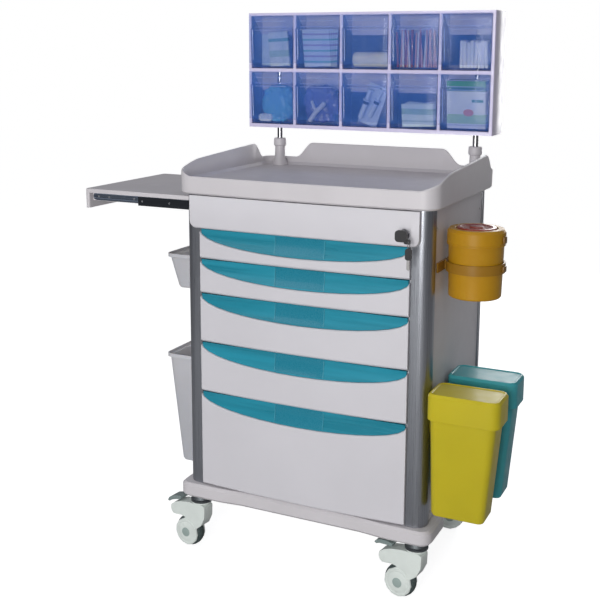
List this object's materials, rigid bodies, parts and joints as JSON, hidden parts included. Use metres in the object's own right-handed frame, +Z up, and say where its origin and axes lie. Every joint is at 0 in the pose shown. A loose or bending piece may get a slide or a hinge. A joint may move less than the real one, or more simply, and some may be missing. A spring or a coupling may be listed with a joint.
{
  "type": "medical trolley",
  "caption": "Hospital medicine trolley: drawers between aluminium posts, railed worktop, tilt-bin organiser on rods, pull-out side shelf, waste and sharps bins, swivel castors with brakes.",
  "frame": {"origin": "centre of the cabinet's footprint at floor level", "axes": "+X to the trolley's right as seen from its front, +Y to its back (the drawers open along -Y), +Z up"},
  "size_m": [1.061, 0.4886, 1.2945],
  "materials": {
    "shell": "satin moulded ABS, light warm grey",
    "front": "satin moulded ABS, off-white",
    "teal": "satin teal plastic",
    "aluminium": "anodised extrusion",
    "chrome": "polished",
    "steel": "zinc-plated sheet",
    "black": "black plastic",
    "black_steel": "black coated steel",
    "lilac": "pale lilac-white plastic",
    "bin_blue": "clear blue plastic",
    "amber": "amber-yellow plastic",
    "yellow": "yellow plastic",
    "waste_teal": "light teal plastic",
    "tub": "light grey plastic",
    "castor": "greenish white plastic",
    "tyre": "grey-green rubber tread",
    "pedal": "grey-green plastic"
  },
  "bodies": {
    "cabinet": {"base_moulding": "shell", "worktop": "shell", "side_panel_left": "shell", "side_panel_right": "shell", "back_panel": "shell", "post_fl": "aluminium", "post_fr": "aluminium", "post_rl": "aluminium", "post_rr": "aluminium", "top_fascia": "front", "runner_frame_left": "steel", "runner_frame_right": "steel", "organiser_frame": "lilac", "organiser_rod_left": "chrome", "organiser_rod_right": "chrome", "lock_body": "chrome", "sharps_bracket": "amber"},
    "drawer_1": {"drawer_1": "front", "drawer_handle_1": "teal"},
    "drawer_2": {"drawer_2": "front", "drawer_handle_2": "teal"},
    "drawer_3": {"drawer_3": "front", "drawer_handle_3": "teal"},
    "drawer_4": {"drawer_4": "front", "drawer_handle_4": "teal"},
    "drawer_5": {"drawer_5": "front", "drawer_handle_5": "teal"},
    "tilt_bin_lower_1": {"tilt_bin_lower_1": "bin_blue"},
    "tilt_bin_lower_2": {"tilt_bin_lower_2": "bin_blue"},
    "tilt_bin_lower_3": {"tilt_bin_lower_3": "bin_blue"},
    "tilt_bin_lower_4": {"tilt_bin_lower_4": "bin_blue"},
    "tilt_bin_lower_5": {"tilt_bin_lower_5": "bin_blue"},
    "tilt_bin_upper_1": {"tilt_bin_upper_1": "bin_blue"},
    "tilt_bin_upper_2": {"tilt_bin_upper_2": "bin_blue"},
    "tilt_bin_upper_3": {"tilt_bin_upper_3": "bin_blue"},
    "tilt_bin_upper_4": {"tilt_bin_upper_4": "bin_blue"},
    "tilt_bin_upper_5": {"tilt_bin_upper_5": "bin_blue"},
    "side_shelf": {"side_shelf": "shell"},
    "shelf_slide_front": {"shelf_slide_front": "black_steel"},
    "shelf_slide_rear": {"shelf_slide_rear": "black_steel"},
    "tub_upper": {"tub_upper": "tub"},
    "tub_lower": {"tub_lower": "tub"},
    "waste_bin_yellow": {"waste_bin_yellow": "yellow"},
    "waste_lid_yellow": {"waste_lid_yellow": "yellow"},
    "waste_bin_teal": {"waste_bin_teal": "waste_teal"},
    "waste_lid_teal": {"waste_lid_teal": "waste_teal"},
    "sharps_container": {"sharps_container": "amber"},
    "sharps_lid": {"sharps_lid": "amber"},
    "lock_key": {"lock_key": "black"},
    "spare_key": {"spare_key": "black"},
    "castor_fl": {"castor_fl": "castor"},
    "wheel_fl": {"wheel_fl": "tyre"},
    "brake_pedal_fl": {"brake_pedal_fl": "pedal"},
    "castor_fr": {"castor_fr": "castor"},
    "wheel_fr": {"wheel_fr": "tyre"},
    "brake_pedal_fr": {"brake_pedal_fr": "pedal"},
    "castor_rl": {"castor_rl": "castor"},
    "wheel_rl": {"wheel_rl": "tyre"},
    "castor_rr": {"castor_rr": "castor"},
    "wheel_rr": {"wheel_rr": "tyre"}
  },
  "joints": [
    {"name": "drawer_1_slide", "type": "slide", "parent": "cabinet", "child": "drawer_1", "axis": [0, -1, 0], "range_m": [0, 0.33]},
    {"name": "drawer_2_slide", "type": "slide", "parent": "cabinet", "child": "drawer_2", "axis": [0, -1, 0], "range_m": [0, 0.33]},
    {"name": "drawer_3_slide", "type": "slide", "parent": "cabinet", "child": "drawer_3", "axis": [0, -1, 0], "range_m": [0, 0.33]},
    {"name": "drawer_4_slide", "type": "slide", "parent": "cabinet", "child": "drawer_4", "axis": [0, -1, 0], "range_m": [0, 0.33]},
    {"name": "drawer_5_slide", "type": "slide", "parent": "cabinet", "child": "drawer_5", "axis": [0, -1, 0], "range_m": [0, 0.33]},
    {"name": "tilt_bin_lower_1_tilt", "type": "hinge", "parent": "cabinet", "child": "tilt_bin_lower_1", "pos_m": [-0.2532, 0.153, 1.025], "axis": [1, 0, 0], "range_deg": [0, 38]},
    {"name": "tilt_bin_lower_2_tilt", "type": "hinge", "parent": "cabinet", "child": "tilt_bin_lower_2", "pos_m": [-0.1266, 0.153, 1.025], "axis": [1, 0, 0], "range_deg": [0, 38]},
    {"name": "tilt_bin_lower_3_tilt", "type": "hinge", "parent": "cabinet", "child": "tilt_bin_lower_3", "pos_m": [0, 0.153, 1.025], "axis": [1, 0, 0], "range_deg": [0, 38]},
    {"name": "tilt_bin_lower_4_tilt", "type": "hinge", "parent": "cabinet", "child": "tilt_bin_lower_4", "pos_m": [0.1266, 0.153, 1.025], "axis": [1, 0, 0], "range_deg": [0, 38]},
    {"name": "tilt_bin_lower_5_tilt", "type": "hinge", "parent": "cabinet", "child": "tilt_bin_lower_5", "pos_m": [0.2532, 0.153, 1.025], "axis": [1, 0, 0], "range_deg": [0, 38]},
    {"name": "tilt_bin_upper_1_tilt", "type": "hinge", "parent": "cabinet", "child": "tilt_bin_upper_1", "pos_m": [-0.2532, 0.153, 1.1655], "axis": [1, 0, 0], "range_deg": [0, 38]},
    {"name": "tilt_bin_upper_2_tilt", "type": "hinge", "parent": "cabinet", "child": "tilt_bin_upper_2", "pos_m": [-0.1266, 0.153, 1.1655], "axis": [1, 0, 0], "range_deg": [0, 38]},
    {"name": "tilt_bin_upper_3_tilt", "type": "hinge", "parent": "cabinet", "child": "tilt_bin_upper_3", "pos_m": [0, 0.153, 1.1655], "axis": [1, 0, 0], "range_deg": [0, 38]},
    {"name": "tilt_bin_upper_4_tilt", "type": "hinge", "parent": "cabinet", "child": "tilt_bin_upper_4", "pos_m": [0.1266, 0.153, 1.1655], "axis": [1, 0, 0], "range_deg": [0, 38]},
    {"name": "tilt_bin_upper_5_tilt", "type": "hinge", "parent": "cabinet", "child": "tilt_bin_upper_5", "pos_m": [0.2532, 0.153, 1.1655], "axis": [1, 0, 0], "range_deg": [0, 38]},
    {"name": "side_shelf_slide", "type": "slide", "parent": "cabinet", "child": "side_shelf", "axis": [1, 0, 0], "range_m": [0, 0.288]},
    {"name": "shelf_slide_front_run", "type": "slide", "parent": "cabinet", "child": "shelf_slide_front", "axis": [1, 0, 0], "range_m": [0, 0.144]},
    {"name": "shelf_slide_rear_run", "type": "slide", "parent": "cabinet", "child": "shelf_slide_rear", "axis": [1, 0, 0], "range_m": [0, 0.144]},
    {"name": "tub_upper_lift", "type": "slide", "parent": "cabinet", "child": "tub_upper", "axis": [0, 0, 1], "range_m": [0, 0.08]},
    {"name": "tub_lower_lift", "type": "slide", "parent": "cabinet", "child": "tub_lower", "axis": [0, 0, 1], "range_m": [0, 0.14]},
    {"name": "waste_bin_yellow_lift", "type": "slide", "parent": "cabinet", "child": "waste_bin_yellow", "axis": [0, 0, 1], "range_m": [0, 0.12]},
    {"name": "waste_lid_yellow_lift", "type": "slide", "parent": "waste_bin_yellow", "child": "waste_lid_yellow", "axis": [0, 0, 1], "range_m": [0, 0.08]},
    {"name": "waste_bin_teal_lift", "type": "slide", "parent": "cabinet", "child": "waste_bin_teal", "axis": [0, 0, 1], "range_m": [0, 0.12]},
    {"name": "waste_lid_teal_lift", "type": "slide", "parent": "waste_bin_teal", "child": "waste_lid_teal", "axis": [0, 0, 1], "range_m": [0, 0.08]},
    {"name": "sharps_container_lift", "type": "slide", "parent": "cabinet", "child": "sharps_container", "axis": [0, 0, 1], "range_m": [0, 0.028]},
    {"name": "sharps_lid_lift", "type": "slide", "parent": "sharps_container", "child": "sharps_lid", "axis": [0, 0, 1], "range_m": [0, 0.016]},
    {"name": "lock_key_turn", "type": "hinge", "parent": "cabinet", "child": "lock_key", "pos_m": [0.245, -0.249, 0.829], "axis": [0, 1, 0], "range_deg": [0, 90]},
    {"name": "spare_key_swing", "type": "hinge", "parent": "lock_key", "child": "spare_key", "pos_m": [0.2615, -0.249, 0.817], "axis": [0, 1, 0], "range_deg": [-25, 25]},
    {"name": "castor_fl_swivel", "type": "hinge", "parent": "cabinet", "child": "castor_fl", "pos_m": [-0.275, -0.188, 0.13], "axis": [0, 0, 1], "continuous": true},
    {"name": "wheel_fl_roll", "type": "hinge", "parent": "castor_fl", "child": "wheel_fl", "pos_m": [-0.31164, -0.18285, 0.0375], "axis": [0.1392, 0.9903, 0], "continuous": true},
    {"name": "brake_pedal_fl_press", "type": "hinge", "parent": "castor_fl", "child": "brake_pedal_fl", "pos_m": [-0.32897, -0.18042, 0.1165], "axis": [0.1392, 0.9903, 0], "range_deg": [0, 16]},
    {"name": "castor_fr_swivel", "type": "hinge", "parent": "cabinet", "child": "castor_fr", "pos_m": [0.275, -0.188, 0.13], "axis": [0, 0, 1], "continuous": true},
    {"name": "wheel_fr_roll", "type": "hinge", "parent": "castor_fr", "child": "wheel_fr", "pos_m": [0.23836, -0.18285, 0.0375], "axis": [0.1392, 0.9903, 0], "continuous": true},
    {"name": "brake_pedal_fr_press", "type": "hinge", "parent": "castor_fr", "child": "brake_pedal_fr", "pos_m": [0.22103, -0.18042, 0.1165], "axis": [0.1392, 0.9903, 0], "range_deg": [-16, 0]},
    {"name": "castor_rl_swivel", "type": "hinge", "parent": "cabinet", "child": "castor_rl", "pos_m": [-0.275, 0.188, 0.13], "axis": [0, 0, 1], "continuous": true},
    {"name": "wheel_rl_roll", "type": "hinge", "parent": "castor_rl", "child": "wheel_rl", "pos_m": [-0.3109, 0.17905, 0.0375], "axis": [-0.2419, 0.9703, 0], "continuous": true},
    {"name": "castor_rr_swivel", "type": "hinge", "parent": "cabinet", "child": "castor_rr", "pos_m": [0.275, 0.188, 0.13], "axis": [0, 0, 1], "continuous": true},
    {"name": "wheel_rr_roll", "type": "hinge", "parent": "castor_rr", "child": "wheel_rr", "pos_m": [0.23981, 0.17657, 0.0375], "axis": [-0.309, 0.9511, 0], "continuous": true}
  ],
  "couplings": [
    {"joint": "shelf_slide_front_run", "follows": "side_shelf_slide", "ratio": 0.5},
    {"joint": "shelf_slide_rear_run", "follows": "side_shelf_slide", "ratio": 0.5}
  ]
}
